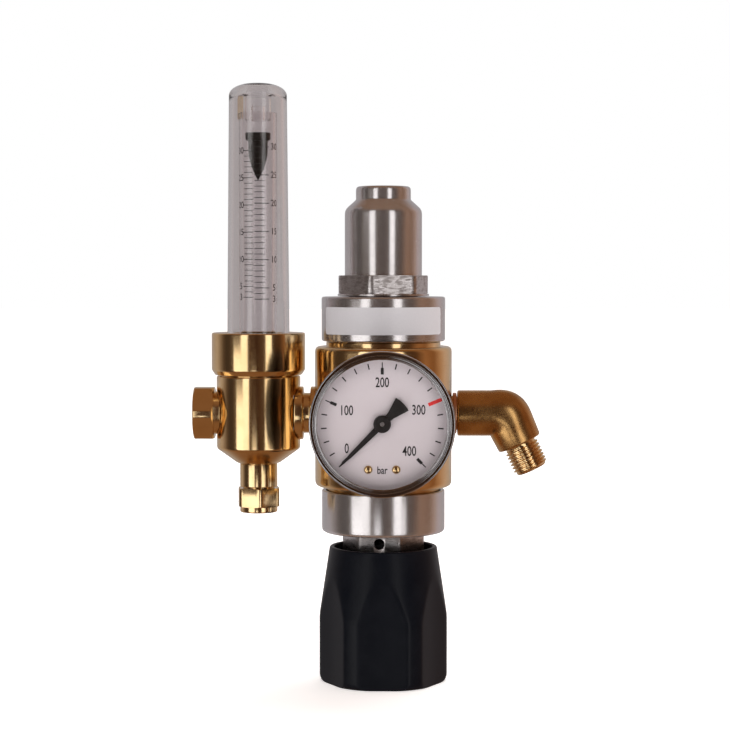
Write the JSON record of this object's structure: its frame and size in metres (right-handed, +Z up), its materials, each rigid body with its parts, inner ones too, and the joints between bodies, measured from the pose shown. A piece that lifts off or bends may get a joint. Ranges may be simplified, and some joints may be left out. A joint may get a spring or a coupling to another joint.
{
  "type": "two-stage gas pressure regulator",
  "caption": "Brass two-stage welding-gas regulator with a fluted black knob, a contents gauge, an angled threaded inlet and a tall tube flowmeter.",
  "frame": {"origin": "centre of the inlet elbow's threaded end face", "axes": "+Z up, parallel to the spring and knob axis; -Y is the front, where the gauge faces; +X towards the inlet, away from the flowmeter"},
  "size_m": [0.1316, 0.0855, 0.2228],
  "materials": {
    "brass": "bright turned brass with fine lathe marks",
    "aluminium": "turned and lightly polished, a few handling scratches",
    "steel": "machined steel",
    "spring_steel": "drawn spring wire",
    "chrome": "polished plated bezel",
    "copper": "annealed copper washer",
    "black_plastic": "fine satin texture",
    "clear_plastic": "clear moulded plastic",
    "window_plastic": "clear flat window",
    "dial_white": "matt off-white print",
    "pointer_black": "matt black",
    "float_black": "dark satin plastic",
    "label_grey": "satin pale label",
    "rubber": "matt black elastomer",
    "sinter": "porous sintered bronze"
  },
  "bodies": {
    "body": {"regulator_body": "brass", "upper_cover": "aluminium", "label_plate": "label_grey", "stage1_housing": "aluminium", "stage1_set_screw": "steel", "stage1_spring_plate": "steel", "stage1_spring": "spring_steel", "upper_slip_ring": "steel", "stage1_diaphragm": "rubber", "stage1_seat": "brass", "stage1_poppet_spring": "spring_steel", "lower_bonnet": "aluminium", "stage2_diaphragm": "rubber", "lower_slip_ring": "steel", "stage2_seat": "brass", "stage2_poppet_spring": "spring_steel", "adjusting_spring": "spring_steel", "inlet_elbow": "brass", "elbow_seal": "copper", "inlet_filter": "sinter", "outlet_adapter": "brass", "banjo_bolt": "brass", "banjo_seal_left": "rubber", "banjo_seal_right": "rubber", "flow_body": "brass", "tube_nut": "brass", "flow_cover": "clear_plastic", "metering_tube": "clear_plastic", "float_stop": "clear_plastic", "cover_seal": "rubber", "outlet_stem": "brass", "outlet_nut": "brass", "outlet_ferrule": "brass", "gauge_case": "steel", "gauge_bezel": "chrome", "gauge_window": "window_plastic", "gauge_dial": "dial_white", "dial_screw_left": "brass", "dial_screw_right": "brass", "gauge_socket": "brass", "gauge_seal": "copper", "bourdon_tube": "brass", "movement_frame": "brass"},
    "adjuster": {"thrust_pad": "steel", "thrust_ball": "steel"},
    "knob": {"knob": "black_plastic", "knob_cap": "black_plastic", "knob_screw": "steel", "spindle": "steel"},
    "stage2_valve": {"stage2_poppet": "brass", "stage2_pin": "steel", "stage2_diaphragm_plate": "aluminium"},
    "stage1_valve": {"stage1_poppet": "brass", "stage1_pin": "steel", "stage1_diaphragm_plate": "aluminium"},
    "pointer": {"gauge_pointer": "pointer_black", "pinion_arbor": "steel"},
    "sector": {"sector_gear": "brass"},
    "link": {"gauge_link": "brass"},
    "float": {"flow_float": "float_black"}
  },
  "joints": [
    {"name": "knob_turn", "type": "hinge", "parent": "adjuster", "child": "knob", "pos_m": [-0.05552, 0, -0.05482], "axis": [0, 0, 1], "range_deg": [0, 1206]},
    {"name": "spindle_travel", "type": "slide", "parent": "body", "child": "adjuster", "axis": [0, 0, 1], "range_m": [0, 0.00417], "deforming": ["adjusting_spring"]},
    {"name": "stage2_lift", "type": "slide", "parent": "body", "child": "stage2_valve", "axis": [0, 0, 1], "range_m": [0, 0.0008], "deforming": ["stage2_diaphragm", "stage2_poppet_spring", "adjusting_spring"]},
    {"name": "stage1_lift", "type": "slide", "parent": "body", "child": "stage1_valve", "axis": [0, 0, 1], "range_m": [-0.0006, 0], "stiffness_N_per_m": 1500, "springref_m": 0.001, "deforming": ["stage1_diaphragm", "stage1_poppet_spring", "stage1_spring"]},
    {"name": "pointer_turn", "type": "hinge", "parent": "body", "child": "pointer", "pos_m": [-0.05552, -0.053, 0.02098], "axis": [0, 1, 0], "range_deg": [0, 270], "stiffness_Nm_per_rad": 0.00002, "springref_deg": -57.3, "deforming": ["bourdon_tube"]},
    {"name": "sector_turn", "type": "hinge", "parent": "body", "child": "sector", "pos_m": [-0.04759, -0.045, 0.01306], "axis": [0, 1, 0], "range_deg": [-45.5, 0]},
    {"name": "link_swing", "type": "hinge", "parent": "sector", "child": "link", "pos_m": [-0.04405, -0.0453, 0.01243], "axis": [0, 1, 0], "range_deg": [0, 45.5]},
    {"name": "float_rise", "type": "slide", "parent": "body", "child": "float", "axis": [0, 0, 1], "range_m": [-0.073, 0.003]}
  ],
  "couplings": [
    {"joint": "knob_turn", "follows": "spindle_travel", "rad_per_m": 5026.5},
    {"joint": "stage2_lift", "follows": "spindle_travel", "ratio": 0.1872},
    {"joint": "sector_turn", "follows": "pointer_turn", "ratio": -0.16667},
    {"joint": "link_swing", "follows": "pointer_turn", "ratio": 0.16667}
  ]
}
